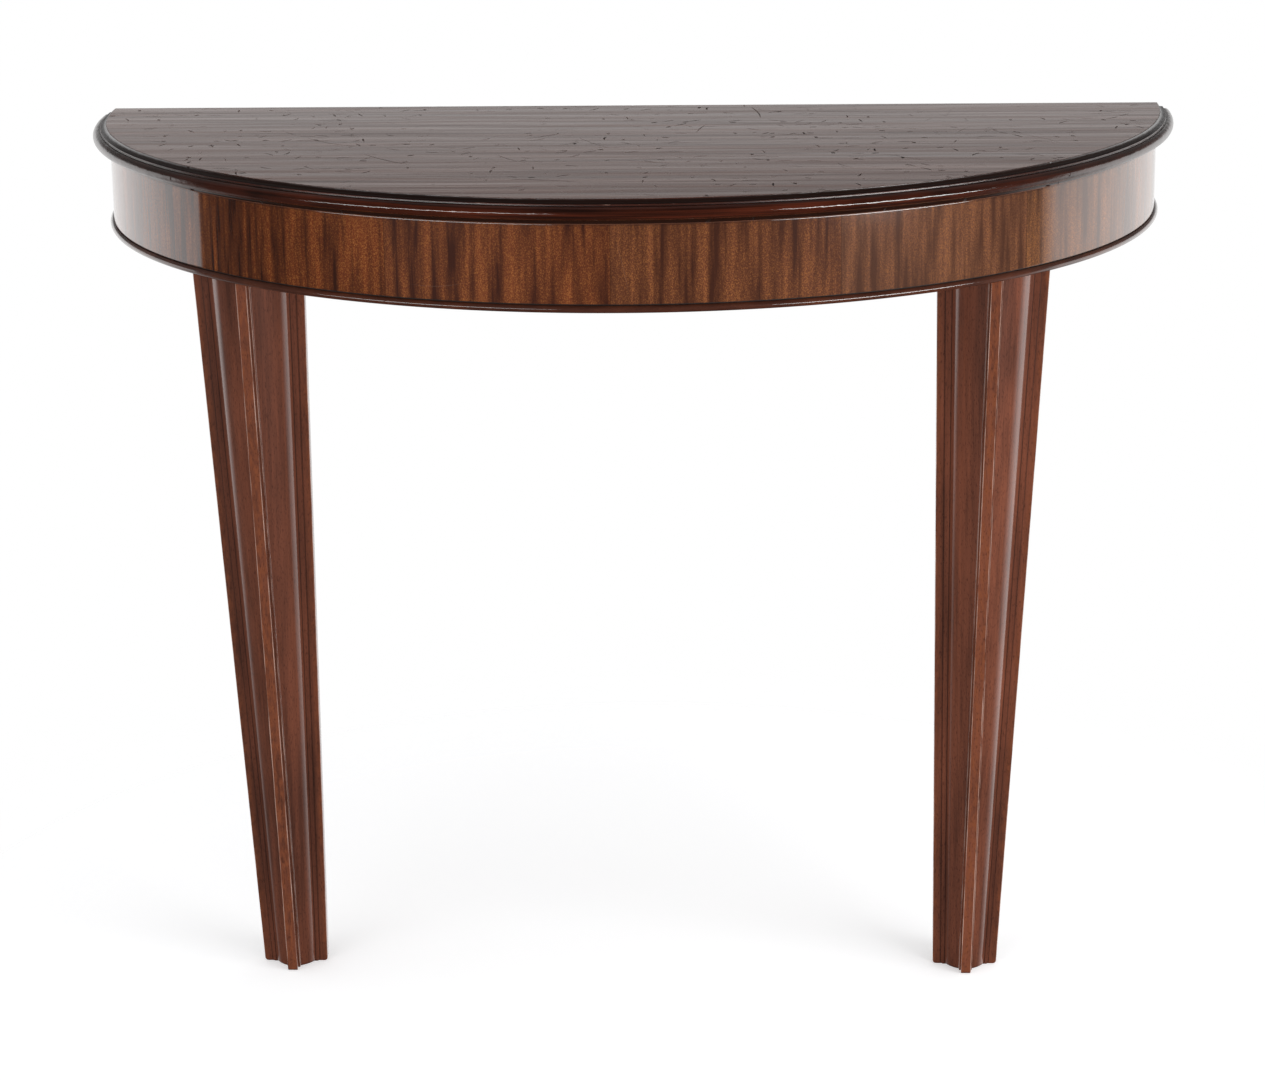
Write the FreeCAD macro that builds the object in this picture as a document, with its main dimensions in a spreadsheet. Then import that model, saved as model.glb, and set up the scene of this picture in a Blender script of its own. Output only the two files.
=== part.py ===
import FreeCAD, Part
import math
import operator
import os

import Sketcher

# Half-round wall table: boarded top with a moulded edge, bricked and veneered frieze, two moulded legs.
# The frame has Z up from the floor, X to the right and the wall on the +Y side, with Y = 0 at half depth.
# Every piece is drawn about the middle of the straight back edge, with its own X axis pointing outwards,
# and is then turned to its place round the half circle.

DRIVING_SIZES = {
    # Whole table, in millimetres and degrees
    "table_height": 777,
    "frieze_radius": 514,
    "frieze_height": 76.5,
    # Moulded edge of the top, from the flat outwards and down to the frieze
    "cove_radius": 3.8,
    "fillet_width": 1.9,
    "fillet_drop": 2,
    "quirk_width": 1.9,
    "nosing_radius": 5.4,
    "neck_inset": 5.6,
    "neck_height": 1.4,
    "cavetto_radius": 4.5,
    "bed_step": 0.5,
    # Boards of the top, as shares of its depth
    "back_board_share": 0.3264,
    "middle_board_share": 0.3264,
    # Frieze: veneer on a bricked core, with a bead let into its lower edge
    "veneer_thickness": 1,
    "core_thickness": 24,
    "quirk_height": 1,
    "bead_height": 6.5,
    "bead_projection": 3.5,
    "bead_seat": 6,
    # Legs: half diagonals over the ribs, and the stepped rib on each corner
    "leg_angle": 45,
    "leg_inset": 38.1,
    "leg_lean": 21.2,
    "leg_top_reach": 50.5,
    "leg_foot_reach": 30.25,
    "rib_width": 9.5,
    "rib_depth": 7.5,
    "rib_ledge": 1.6,
    "top_step_depth": 6.2,
    "foot_step_depth": 4,
    "face_turn": 18,
    # Posts that carry the legs up inside the frieze
    "post_width": 56,
    "post_depth": 41,
    # Rails behind and under the top
    "rail_thickness": 22,
    "bearer_thickness": 22,
    "bearer_height": 58,
    "tenon_thickness": 10,
    "tenon_height": 36,
    "tenon_length": 10,
    "mortise_clearance": 0.2,
    "wall_hole_spacing": 600,
    "wall_hole_diameter": 6,
    # Glue blocks
    "side_block_width": 20,
    "side_block_depth": 22,
    "side_block_height": 60,
    "corner_block_reach": 42,
    "corner_block_height": 60,
    "top_block_length": 60,
    "top_block_depth": 24,
    "top_block_height": 24,
    "outer_block_angle": 25,
    "inner_block_angle": 70,
    "rail_block_offset": 230,
}

# Repeated pieces
COURSE_NAMES = ("lower", "middle", "upper")
BRICKS_PER_COURSE = 6
VENEER_LEAVES = 8

# Directions and turns in degrees, anticlockwise seen from above, from the right-hand end of the back edge
HALF_TURN = 180
LEFT_END = 180
FRONT = 270
DIAGONAL = 45

OPERATIONS = {"+": operator.add, "-": operator.sub, "*": operator.mul, "/": operator.truediv}

doc = FreeCAD.newDocument("demilune_table")
sheet = doc.addObject("Spreadsheet::Sheet", "Sizes")
pieces = []


class Size:
    """A length or an angle: its number now and the sheet formula that gives it."""

    def __init__(self, number, formula):
        self.number = float(number)
        self.formula = formula

    def __add__(self, other):
        return combined(self, "+", other)

    def __sub__(self, other):
        return combined(self, "-", other)

    def __mul__(self, other):
        return combined(self, "*", other)

    def __truediv__(self, other):
        return combined(self, "/", other)

    def __neg__(self):
        return Size(-self.number, f"-({self.formula})")


def as_size(value):
    """Takes a plain number as a size that never changes."""
    return value if isinstance(value, Size) else Size(value, str(value))


def combined(left, sign, right):
    """One sum or product of two sizes."""
    left = as_size(left)
    right = as_size(right)
    number = OPERATIONS[sign](left.number, right.number)
    return Size(number, f"({left.formula} {sign} {right.formula})")


def sine(angle):
    return Size(math.sin(math.radians(angle.number)), f"sin({angle.formula})")


def across(radius, along):
    """How far out a circle of this radius is, at a distance along its chord."""
    number = math.sqrt(radius.number ** 2 - along.number ** 2)
    return Size(number, f"sqrt({radius.formula} ^ 2 - ({along.formula}) ^ 2)")


def fill_sheet():
    """Writes the driving sizes into the sheet and gives them back by name."""
    sizes = {}
    for row, (name, number) in enumerate(DRIVING_SIZES.items(), start=1):
        cell = f"A{row}"
        sheet.set(cell, str(number))
        sheet.setAlias(cell, name)
        sizes[name] = Size(number, f"{sheet.Name}.{name}")
    doc.recompute()
    return sizes


def bind(thing, prop, size):
    """Ties a property of a document object to a size."""
    thing.setExpression(prop, as_size(size).formula)


def new_body(name):
    body = doc.addObject("PartDesign::Body", name)
    body.Label = name
    pieces.append(body)
    return body


def place(body, azimuth, level):
    """Turns a piece to its direction round the half circle and lifts it to its level."""
    azimuth = as_size(azimuth)
    body.Placement = FreeCAD.Placement(
        FreeCAD.Vector(0, 0, 0), FreeCAD.Rotation(FreeCAD.Vector(0, 0, 1), azimuth.number))
    bind(body, "Placement.Rotation.Angle", azimuth)
    bind(body, "Placement.Base.y", wall_plane)
    bind(body, "Placement.Base.z", level)


def origin_feature(body, role):
    return next(item for item in body.Origin.OriginFeatures if item.Role == role)


def new_sketch(body, name, plane, offset=0, shift=0, turn=0):
    """A sketch on an origin plane, moved along its normal and its own X axis, and turned on that plane."""
    sketch = body.newObject("Sketcher::SketchObject", f"{body.Name}_{name}")
    sketch.AttachmentSupport = [(origin_feature(body, plane), "")]
    sketch.MapMode = "FlatFace"
    sketch.AttachmentOffset = FreeCAD.Placement(
        FreeCAD.Vector(0, 0, 0), FreeCAD.Rotation(FreeCAD.Vector(0, 0, 1), turn))
    bind(sketch, "AttachmentOffset.Base.x", shift)
    bind(sketch, "AttachmentOffset.Base.z", offset)
    return sketch


def arc_between(start, end, radius, turn):
    """The lesser arc from start to end, turning left (1) or right (-1)."""
    chord = end - start
    half = chord.Length / 2
    rise = math.sqrt(max(radius ** 2 - half ** 2, 0))
    left = FreeCAD.Vector(-chord.y, chord.x, 0) / chord.Length
    centre = (start + end) / 2 + left * (rise * turn)
    circle = Part.Circle(centre, FreeCAD.Vector(0, 0, 1), radius)
    first, last = (start, end) if turn > 0 else (end, start)
    begin = math.atan2(first.y - centre.y, first.x - centre.x)
    finish = math.atan2(last.y - centre.y, last.x - centre.x)
    return Part.ArcOfCircle(circle, begin, finish)


def add_bound(sketch, constraint, name, size):
    index = sketch.addConstraint(constraint)
    sketch.renameConstraint(index, name)
    bind(sketch, f"Constraints.{name}", size)


def fix_coordinate(sketch, kind, axis, edge, end, name, size):
    """Holds one coordinate of an edge's end at a size, or on the axis where it is zero."""
    if size.formula == "0":
        sketch.addConstraint(Sketcher.Constraint("PointOnObject", edge, end, axis))
    else:
        add_bound(sketch, Sketcher.Constraint(kind, edge, end, size.number), name, size)


def draw_outline(sketch, corners):
    """Closes an outline. A corner is (x, y), reached by a line, or (x, y, radius, turn), by an arc."""
    corners = [tuple(as_size(item) for item in corner[:3]) + corner[3:] for corner in corners]
    points = [FreeCAD.Vector(corner[0].number, corner[1].number, 0) for corner in corners]
    edges = []
    begins = []
    for index, corner in enumerate(corners):
        start = points[index - 1]
        if len(corner) == 2:
            edges.append(Part.LineSegment(start, points[index]))
            begins.append(1)
        else:
            edges.append(arc_between(start, points[index], corner[2].number, corner[3]))
            begins.append(1 if corner[3] > 0 else 2)
    sketch.addGeometry(edges, False)
    joints = []
    for index, begin in enumerate(begins):
        joints.append(Sketcher.Constraint("Coincident", index - 1 if index else len(edges) - 1,
                                          3 - begins[index - 1], index, begin))
    sketch.addConstraint(joints)
    for index, corner in enumerate(corners):
        end = 3 - begins[index]
        fix_coordinate(sketch, "DistanceX", -2, index, end, f"across{index}", corner[0])
        fix_coordinate(sketch, "DistanceY", -1, index, end, f"along{index}", corner[1])
        if len(corner) > 2:
            add_bound(sketch, Sketcher.Constraint("Radius", index, corner[2].number),
                      f"radius{index}", corner[2])


def draw_circles(sketch, centres, diameter):
    """Round holes of one diameter, each centre held at its own place."""
    for index, centre in enumerate(centres):
        x, y = (as_size(item) for item in centre)
        middle = FreeCAD.Vector(x.number, y.number, 0)
        sketch.addGeometry(Part.Circle(middle, FreeCAD.Vector(0, 0, 1), diameter.number / 2), False)
        fix_coordinate(sketch, "DistanceX", -2, index, 3, f"across{index}", x)
        fix_coordinate(sketch, "DistanceY", -1, index, 3, f"along{index}", y)
        add_bound(sketch, Sketcher.Constraint("Diameter", index, diameter.number), f"bore{index}", diameter)


def rectangle(x_from, x_to, y_from, y_to):
    return [(x_from, y_from), (x_to, y_from), (x_to, y_to), (x_from, y_to)]


def pad(body, sketch, length, reverse=False):
    feature = body.newObject("PartDesign::Pad", f"{sketch.Name}_pad")
    feature.Profile = sketch
    feature.Reversed = reverse
    bind(feature, "Length", length)


def pocket(body, sketch, length, reverse=False):
    feature = body.newObject("PartDesign::Pocket", f"{sketch.Name}_cut")
    feature.Profile = sketch
    feature.Reversed = reverse
    bind(feature, "Length", length)


def turned(body, sketch, angle):
    """Sweeps a section about the table's upright axis, half of the angle to each side."""
    feature = body.newObject("PartDesign::Revolution", f"{sketch.Name}_sweep")
    feature.Profile = sketch
    feature.ReferenceAxis = (origin_feature(body, "Z_Axis"), [""])
    feature.Midplane = True
    bind(feature, "Angle", angle)


def ring_piece(name, section, angle, azimuth, level):
    """A curved piece: one section carried round part of the half circle."""
    body = new_body(name)
    sketch = new_sketch(body, "section", "XZ_Plane")
    draw_outline(sketch, section)
    turned(body, sketch, angle)
    place(body, azimuth, level)
    return body


def top_section():
    """Half section of the top: flat, cove, fillet, nosing, neck and cavetto, standing on its underside."""
    fillet_level = top_thickness - size["cove_radius"]
    quirk_level = fillet_level - size["fillet_drop"]
    nosing_level = quirk_level - size["nosing_radius"]
    neck_level = nosing_level - size["nosing_radius"]
    return [
        (0, 0),
        (0, top_thickness),
        (flat_radius, top_thickness),
        (flat_radius + size["cove_radius"], fillet_level, size["cove_radius"], 1),
        (fillet_radius, fillet_level),
        (fillet_radius, quirk_level),
        (nosing_circle, quirk_level),
        (outer_radius, nosing_level, size["nosing_radius"], -1),
        (nosing_circle, neck_level, size["nosing_radius"], -1),
        (neck_radius, neck_level),
        (neck_radius, size["cavetto_radius"]),
        (neck_radius - size["cavetto_radius"], 0, size["cavetto_radius"], 1),
    ]


def top_board(name, back, front):
    """One board of the top: the whole half round, sawn off at the board's two edges."""
    body = ring_piece(name, top_section(), HALF_TURN, FRONT, top_underside)
    waste = ((0, back, "back_edge"), (front, outer_radius, "front_edge"))
    for start, stop, edge in waste:
        if as_size(start).number < as_size(stop).number:
            sketch = new_sketch(body, edge, "XY_Plane")
            draw_outline(sketch, rectangle(start, stop, -outer_radius, outer_radius))
            pocket(body, sketch, top_thickness, reverse=True)


def make_top():
    back_joint = outer_radius * size["back_board_share"]
    front_joint = back_joint + outer_radius * size["middle_board_share"]
    top_board("top_board_back", 0, back_joint)
    top_board("top_board_middle", back_joint, front_joint)
    top_board("top_board_front", front_joint, outer_radius)


def brick_section(course):
    """Section of a brick, with the bead's rebate in the lowest course."""
    height = course_height
    if course > 0:
        return rectangle(core_inner, core_outer, 0, height)
    rebate = core_outer - size["bead_seat"]
    return [
        (core_inner, 0),
        (rebate, 0),
        (rebate, size["bead_height"]),
        (core_outer, size["bead_height"]),
        (core_outer, height),
        (core_inner, height),
    ]


def brick_spans(course):
    """Start and end of each brick in a course, in brick lengths, with the middle course broken by half."""
    if course % 2 == 0:
        return [(index, index + 1) for index in range(BRICKS_PER_COURSE)]
    joints = [index + 0.5 for index in range(BRICKS_PER_COURSE)]
    return list(zip([0] + joints, joints + [BRICKS_PER_COURSE]))


def make_frieze_core():
    for course, course_name in enumerate(COURSE_NAMES):
        level = frieze_underside + course_height * course
        for number, (start, end) in enumerate(brick_spans(course), start=1):
            middle = LEFT_END + (start + end) / 2 * brick_angle
            ring_piece(f"frieze_brick_{course_name}_{number}", brick_section(course),
                       (end - start) * brick_angle, middle, level)


def make_veneer():
    """Leaves of veneer laid edge to edge from the left end of the frieze to the right."""
    leaf_angle = HALF_TURN / VENEER_LEAVES
    lower_edge = size["bead_height"] + size["quirk_height"]
    section = rectangle(core_outer, size["frieze_radius"], lower_edge, size["frieze_height"])
    for number in range(1, VENEER_LEAVES + 1):
        middle = LEFT_END + (number - 0.5) * leaf_angle
        ring_piece(f"frieze_veneer_{number}", section, leaf_angle, middle, frieze_underside)


def make_bead():
    """Half-round strip seated in the rebate of the lowest course."""
    nose = size["bead_height"] / 2
    back = core_outer - size["bead_seat"]
    tip = size["frieze_radius"] + size["bead_projection"]
    section = [
        (back, 0),
        (back, size["bead_height"]),
        (tip - nose, size["bead_height"]),
        (tip, nose, nose, -1),
        (tip - nose, 0, nose, -1),
    ]
    ring_piece("frieze_bead", section, HALF_TURN, FRONT, frieze_underside)


def leg_section(reach, step_depth):
    """Square on its diagonals: a flat rib on each corner, a stepped hollow, and a slightly round face."""
    half_rib = size["rib_width"] / 2
    half_step = half_rib + size["rib_ledge"]
    ledge = reach - size["rib_depth"]
    root = ledge - step_depth
    half_chord = (root - half_step) / math.sqrt(2)
    face_radius = half_chord / sine(size["face_turn"])
    arm = [(root, -half_step), (ledge, -half_step), (ledge, -half_rib), (reach, -half_rib),
           (reach, half_rib), (ledge, half_rib), (ledge, half_step), (root, half_step)]
    quarter_turns = (
        lambda x, y: (x, y),
        lambda x, y: (-y, x),
        lambda x, y: (-x, -y),
        lambda x, y: (y, -x),
    )
    corners = []
    for turn in quarter_turns:
        first, *rest = [turn(x, y) for x, y in arm]
        corners.append(first + (face_radius, 1))
        corners.extend(rest)
    return corners


def post_outline():
    """Plan of the post inside the frieze, its outer side fitted to the curve of the core."""
    half = size["post_width"] / 2
    back = core_inner - size["post_depth"]
    return [(back, half), (back, -half), (across(core_inner, half), -half),
            (across(core_inner, half), half, core_inner, 1)]


def make_leg(name, leg_turn):
    """A moulded tapering shaft, with a post standing on its shoulder."""
    body = new_body(name)
    foot = new_sketch(body, "foot", "XY_Plane", shift=leg_circle - size["leg_lean"], turn=DIAGONAL)
    draw_outline(foot, leg_section(size["leg_foot_reach"], size["foot_step_depth"]))
    head = new_sketch(body, "head", "XY_Plane", offset=frieze_underside, shift=leg_circle, turn=DIAGONAL)
    draw_outline(head, leg_section(size["leg_top_reach"], size["top_step_depth"]))
    shaft = body.newObject("PartDesign::AdditiveLoft", f"{name}_shaft")
    shaft.Profile = foot
    shaft.Sections = [head]
    shaft.Ruled = True
    post = new_sketch(body, "post", "XY_Plane", offset=frieze_underside)
    draw_outline(post, post_outline())
    pad(body, post, size["frieze_height"])
    place(body, leg_turn + LEFT_END, 0)


def make_back_rail():
    """Straight board between the ends of the frieze, holed for wall screws and mortised for the bearer."""
    body = new_body("back_rail")
    depth = size["rail_thickness"]
    board = new_sketch(body, "board", "XY_Plane")
    front_end = across(core_inner, depth)
    draw_outline(board, [(0, -core_inner), (depth, -front_end, core_inner, 1), (depth, front_end),
                         (0, core_inner, core_inner, 1)])
    pad(body, board, size["frieze_height"])
    holes = new_sketch(body, "wall_holes", "YZ_Plane", offset=depth)
    half = size["wall_hole_spacing"] / 2
    level = size["frieze_height"] / 2
    draw_circles(holes, [(-half, level), (half, level)], size["wall_hole_diameter"])
    pocket(body, holes, depth)
    mortise = new_sketch(body, "mortise", "YZ_Plane", offset=depth)
    clearance = size["mortise_clearance"]
    draw_outline(mortise, tenon_outline(size["frieze_height"], clearance))
    pocket(body, mortise, size["tenon_length"] + clearance)
    place(body, FRONT, frieze_underside)


def tenon_outline(upper_edge, clearance):
    """End view of the bearer's tenon, or of its mortise with a clearance all round."""
    half = size["tenon_thickness"] / 2 + clearance
    middle = upper_edge - size["bearer_height"] / 2
    reach = size["tenon_height"] / 2 + clearance
    return rectangle(-half, half, middle - reach, middle + reach)


def make_bearer():
    """Fore-and-aft rail under the middle of the top."""
    body = new_body("bearer")
    half = size["bearer_thickness"] / 2
    back = size["rail_thickness"]
    rail = new_sketch(body, "rail", "XY_Plane")
    draw_outline(rail, [(back, half), (back, -half), (across(core_inner, half), -half),
                        (across(core_inner, half), half, core_inner, 1)])
    pad(body, rail, size["bearer_height"])
    tenon = new_sketch(body, "tenon", "YZ_Plane", offset=back)
    draw_outline(tenon, tenon_outline(size["bearer_height"], 0))
    pad(body, tenon, size["tenon_length"], reverse=True)
    place(body, FRONT, top_underside - size["bearer_height"])


def side_block(name, azimuth, half_gap, side):
    """Glue block in the corner of the frieze and whatever stands against it: side is 1 or -1."""
    body = new_body(name)
    near = half_gap * side
    far = (half_gap + size["side_block_width"]) * side
    back = core_inner - size["side_block_depth"]
    plan = new_sketch(body, "plan", "XY_Plane")
    draw_outline(plan, [(back, near), (back, far), (across(core_inner, far), far),
                        (across(core_inner, near), near, core_inner, -side)])
    pad(body, plan, size["side_block_height"])
    place(body, azimuth, top_underside - size["side_block_height"])


def make_side_blocks():
    for leg_name, leg_turn in zip(("left", "right"), leg_turns):
        for block_name, side in (("a", -1), ("b", 1)):
            side_block(f"leg_block_{leg_name}_{block_name}", leg_turn + LEFT_END,
                       size["post_width"] / 2, side)
    for block_name, side in (("left", -1), ("right", 1)):
        side_block(f"bearer_block_{block_name}", FRONT, size["bearer_thickness"] / 2, side)


def corner_block(name, side):
    """Three-cornered block between the back rail and the end of the frieze."""
    body = new_body(name)
    back = size["rail_thickness"]
    front = back + size["corner_block_reach"]
    end = across(core_inner, back)
    plan = new_sketch(body, "plan", "XY_Plane")
    draw_outline(plan, [(back, (end - size["corner_block_reach"]) * side),
                        (front, across(core_inner, front) * side),
                        (back, end * side, core_inner, side)])
    pad(body, plan, size["corner_block_height"])
    place(body, FRONT, top_underside - size["corner_block_height"])


def make_corner_blocks():
    corner_block("corner_block_left", -1)
    corner_block("corner_block_right", 1)


def frieze_top_block(name, azimuth):
    body = new_body(name)
    half = size["top_block_length"] / 2
    back = core_inner - size["top_block_depth"]
    plan = new_sketch(body, "plan", "XY_Plane")
    draw_outline(plan, [(back, half), (back, -half), (across(core_inner, half), -half),
                        (across(core_inner, half), half, core_inner, 1)])
    pad(body, plan, size["top_block_height"])
    place(body, azimuth, top_underside - size["top_block_height"])


def rail_top_block(name, side):
    body = new_body(name)
    half = size["top_block_length"] / 2
    back = size["rail_thickness"]
    middle = size["rail_block_offset"] * side
    plan = new_sketch(body, "plan", "XY_Plane")
    draw_outline(plan, rectangle(back, back + size["top_block_depth"], middle - half, middle + half))
    pad(body, plan, size["top_block_height"])
    place(body, FRONT, top_underside - size["top_block_height"])


def make_top_blocks():
    for number, turn in enumerate(block_turns, start=1):
        frieze_top_block(f"top_block_frieze_{number}", turn + LEFT_END)
    rail_top_block("top_block_rail_left", -1)
    rail_top_block("top_block_rail_right", 1)


def check_pieces():
    """Stops before anything is written if an object failed or a shape is empty or broken."""
    for item in doc.Objects:
        if "Invalid" in item.State or "Error" in item.State:
            raise RuntimeError(f"{item.Label} failed: {item.State}")
    for piece in pieces:
        if piece.Shape.isNull() or not piece.Shape.isValid() or not piece.Shape.Solids:
            raise RuntimeError(f"{piece.Label} has no sound solid")


def write_pieces():
    os.makedirs("parts", exist_ok=True)
    for piece in pieces:
        piece.Shape.exportStep(f"parts/{piece.Label}.step")
        print(f"{piece.Label}: {len(piece.Shape.Solids)} solids, {piece.Shape.Volume:.1f} mm3")


size = fill_sheet()

# Radii, from the middle of the straight back edge
core_outer = size["frieze_radius"] - size["veneer_thickness"]
core_inner = core_outer - size["core_thickness"]
leg_circle = size["frieze_radius"] - size["leg_inset"]
neck_radius = size["frieze_radius"] + size["bed_step"] + size["cavetto_radius"]
nosing_circle = neck_radius + size["neck_inset"]
outer_radius = nosing_circle + size["nosing_radius"]
fillet_radius = nosing_circle - size["quirk_width"]
flat_radius = fillet_radius - size["fillet_width"] - size["cove_radius"]
wall_plane = outer_radius / 2

# Levels, from the floor
top_thickness = (size["cove_radius"] + size["fillet_drop"] + size["nosing_radius"] * 2
                 + size["neck_height"] + size["cavetto_radius"])
top_underside = size["table_height"] - top_thickness
frieze_underside = top_underside - size["frieze_height"]
course_height = size["frieze_height"] / len(COURSE_NAMES)

# Turns round the half circle, from its left end
brick_angle = HALF_TURN / BRICKS_PER_COURSE
leg_turns = (size["leg_angle"], -size["leg_angle"] + HALF_TURN)
block_turns = (size["outer_block_angle"], size["inner_block_angle"],
               -size["inner_block_angle"] + HALF_TURN, -size["outer_block_angle"] + HALF_TURN)

make_top()
make_frieze_core()
make_veneer()
make_bead()
make_leg("leg_left", leg_turns[0])
make_leg("leg_right", leg_turns[1])
make_back_rail()
make_bearer()
make_side_blocks()
make_corner_blocks()
make_top_blocks()

doc.recompute()
check_pieces()
write_pieces()
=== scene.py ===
import math

import bmesh
import bpy
from mathutils import Matrix, Vector


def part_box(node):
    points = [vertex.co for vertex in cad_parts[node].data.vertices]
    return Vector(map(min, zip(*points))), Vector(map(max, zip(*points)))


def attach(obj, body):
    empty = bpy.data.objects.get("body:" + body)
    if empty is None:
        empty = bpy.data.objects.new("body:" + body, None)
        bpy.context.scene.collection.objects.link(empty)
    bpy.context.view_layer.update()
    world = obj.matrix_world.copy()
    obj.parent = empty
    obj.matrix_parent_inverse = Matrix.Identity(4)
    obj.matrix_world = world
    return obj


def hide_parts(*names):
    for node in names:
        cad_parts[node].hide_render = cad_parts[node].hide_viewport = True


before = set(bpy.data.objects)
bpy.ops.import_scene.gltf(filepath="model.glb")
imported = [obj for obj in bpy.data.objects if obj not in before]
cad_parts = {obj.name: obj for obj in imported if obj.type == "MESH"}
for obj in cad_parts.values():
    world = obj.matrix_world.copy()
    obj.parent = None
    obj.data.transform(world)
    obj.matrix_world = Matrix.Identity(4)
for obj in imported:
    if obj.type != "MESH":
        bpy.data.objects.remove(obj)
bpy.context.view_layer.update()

# A half-round wall table in polished mahogany, seen from a little above and to the right.
# The frame gives the main sizes in metres; sections are drawn in millimetres.
# Azimuths are in degrees round the middle of the back edge: 180 is the left end, 270 the front
# and 360 the right end.

MM = 0.001
LEFT_END = 180
RIGHT_END = 360

# Moulded edge of the top, from the flat outwards and down
COVE_RADIUS = 3.8
FILLET_WIDTH = 1.9
FILLET_DROP = 2.0
QUIRK_WIDTH = 1.9
NOSING_RADIUS = 5.4
NECK_INSET = 5.6
CAVETTO_RADIUS = 4.5

# Moulded legs
LEG_AZIMUTHS = {"left": 225, "right": 315}
LEG_LEAN = 21.2
FOOT_REACH = 30.25
RIB_WIDTH = 9.5
RIB_DEPTH = 7.5
RIB_LEDGE = 1.6
HEAD_STEP = 6.2
FOOT_STEP = 4.0
FACE_TURN = 18
POST_WIDTH = 56
POST_DEPTH = 41
CORE_THICKNESS = 24

# Veneer on the core, and how deep the bead sits in the core
VENEER_THICKNESS = 1
BEAD_SEAT = 6

# Slotted screws inside the frame
SCREW_RADIUS = 4.2
SCREW_SLOT = 1.2
SCREW_SIDE = 0.54
SCREW_RISE = 0.9
SCREW_CROWN = 0.85
SCREW_BASE = 0.4
SCREW_SUNK = 1.0
LEG_SCREW_SHARES = (0.35, 0.75)

# How far hand work and use have rounded the sharp corners
TOP_EASE = 0.9
BEAD_EASE = 0.3
LEG_EASE = 0.45
VENEER_EASE = 0.12
WORN_BAND = 0.75
WORN_FADE = 0.3
FOOT_ROUND = 3.0
FOOT_ANGLES = (90, 60, 30, 0)

# A rounded corner and its worn band take at most these shares of the sides beside it
EASE_SHARE = 0.25
BAND_SHARE = 0.45

# How strongly marks bow, and how dark the painted shade lies in hollows and on the ledges beside the ribs
MARK_BOW = 0.6
HOLLOW_SHADE_DEPTH = 0.95
LEDGE_SHADE_DEPTH = 0.65

# Polished mahogany of the top, and its bare wood underneath
FLAT_DARK = "#4c2b20"
FLAT_LIGHT = "#784a38"
MOULDING_DARK = "#1a0a06"
MOULDING_LIGHT = "#4e2113"
# Painted shade towards the ends of the moulding
END_SHADE_DARK = "#1f120e"
SCRATCH_DARK = "#1a0f0c"
# Knocked edges, pale partly as a painted highlight
NICK_PALE_AND_HIGHLIGHT = "#7a5f52"
# Painted shade in the hollows and inner corners of the top
TOP_SHADE_DARK = "#180904"
RAW_DARK = "#4f3325"
RAW_LIGHT = "#6e4c38"

# Veneer: the leaves come from different parts of the log, redder to the left and more golden to the right
LEAF_DARKS = ("#3a1c12", "#30150b", "#30150b", "#371a11", "#3a1f15", "#472b1e", "#462c1f", "#4a2f22")
LEAF_LIGHTS = ("#703d24", "#653217", "#693318", "#6f3b21", "#693d27", "#714833", "#68432d", "#744c35")
FLECK_GOLD = "#a86c36"
PORE_DARK = "#2a130c"
JOINT_DARK = "#1c0d08"
SCRATCH_PALE = "#a08878"
# Painted shade under the top, and on the outer face of the core
RIM_SHADE_DARK = "#1c0e09"

# Legs and bead: the left leg's colours are slightly darker than the right leg's
LEG_DARKS = {"left": "#42241a", "right": "#4a291e"}
LEG_LIGHTS = {"left": "#6f3e2c", "right": "#7c4632"}
BEAD_DARK = "#2f1710"
BEAD_LIGHT = "#532b1b"
RIB_BARE = "#733f27"
# Rubbed edges, pale partly as a painted highlight
EDGE_PALE_AND_HIGHLIGHT = "#b8988a"
# Painted shade in the hollows, inner corners and side ledges of legs and bead
LEG_SHADE_DARK = "#1c0c07"

# Softwood, steel and paper
PINE_DARK = "#8a623c"
PINE_LIGHT = "#b58a5c"
PINE_SOILED = "#4d3420"
STEEL_GREY = "#8d8a86"
STEEL_RUST = "#5a3f30"
PAPER_DARK = "#f2f3f5"
PAPER_LIGHT = "#f8f9fa"
WHITE = "#ffffff"

# Index of wood and varnish, and roughness of their polish
WOOD_IOR = 1.5
VENEER_POLISH = 0.05
LEG_POLISH = 0.08

# Fineness of the drawn curves; points closer than WELD are joined
ARC_STEPS = 10
FACE_STEPS = 14
SWEEP_STEP = 0.9
LEG_ROWS = 24
SHARP_BEND = math.radians(25)
STRAIGHT = 0.001
WELD = 0.001

TOP_LOW, TOP_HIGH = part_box("top_board_back")
BEAD_LOW, BEAD_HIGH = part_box("frieze_bead")
VENEER_LOW, VENEER_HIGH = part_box("frieze_veneer_1")
CORE_LOW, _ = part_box("frieze_brick_upper_1")
LEAVES = sum(1 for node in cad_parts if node.startswith("frieze_veneer"))
WALL = TOP_HIGH.y
OUTER_RADIUS = TOP_HIGH.x / MM
FRIEZE_RADIUS = -VENEER_LOW.x / MM
CORE_RADIUS = -CORE_LOW.x / MM
FLAT_RADIUS = OUTER_RADIUS - NOSING_RADIUS - QUIRK_WIDTH - FILLET_WIDTH - COVE_RADIUS


def linear(code):
    """A colour written as sRGB hex, as linear light."""
    parts = [int(code[start:start + 2], 16) / 255 for start in (1, 3, 5)]
    return [part / 12.92 if part <= 0.04045 else ((part + 0.055) / 1.055) ** 2.4 for part in parts] + [1]


def add(tree, kind, sockets=None, **settings):
    """Adds a node, with its settings, and links or sets its sockets."""
    node = tree.nodes.new(kind)
    for name, value in settings.items():
        setattr(node, name, value)
    for socket, value in (sockets or {}).items():
        if isinstance(value, bpy.types.NodeSocket):
            tree.links.new(value, node.inputs[socket])
        else:
            node.inputs[socket].default_value = value
    return node


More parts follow.
